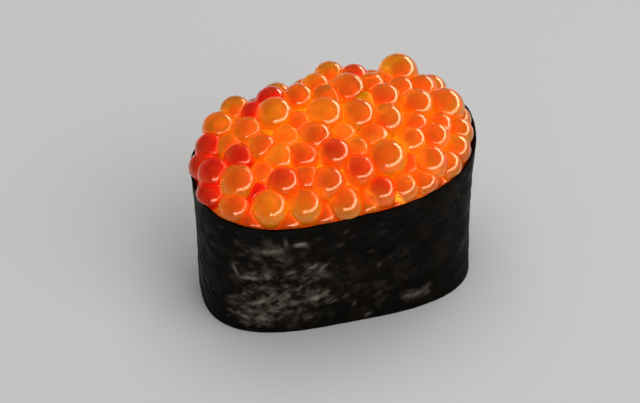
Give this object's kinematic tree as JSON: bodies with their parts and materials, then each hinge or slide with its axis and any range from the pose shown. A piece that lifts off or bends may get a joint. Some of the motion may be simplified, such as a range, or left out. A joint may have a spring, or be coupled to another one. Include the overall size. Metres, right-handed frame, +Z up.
{
  "type": "gunkan sushi",
  "caption": "Gunkan sushi: an oblong pad of pressed rice inside an upright seaweed strip, heaped above the rim with glossy orange salmon roe.",
  "frame": {"origin": "middle of the footprint's bounding box, on the plane that the sushi rests on", "axes": "+X along the sushi's length, +Y across it towards the side where the seaweed strip laps, +Z up"},
  "size_m": [0.0508, 0.0324, 0.0378],
  "materials": {
    "nori": "near-black dried seaweed with a dull, crinkled olive-grey sheen",
    "rice": "moist white pressed rice",
    "roe": "wet, glossy, translucent orange to red eggs"
  },
  "bodies": {
    "root": {"nori_wrap": "nori", "rice_base": "rice", "roe_heap": "roe"}
  },
  "joints": []
}
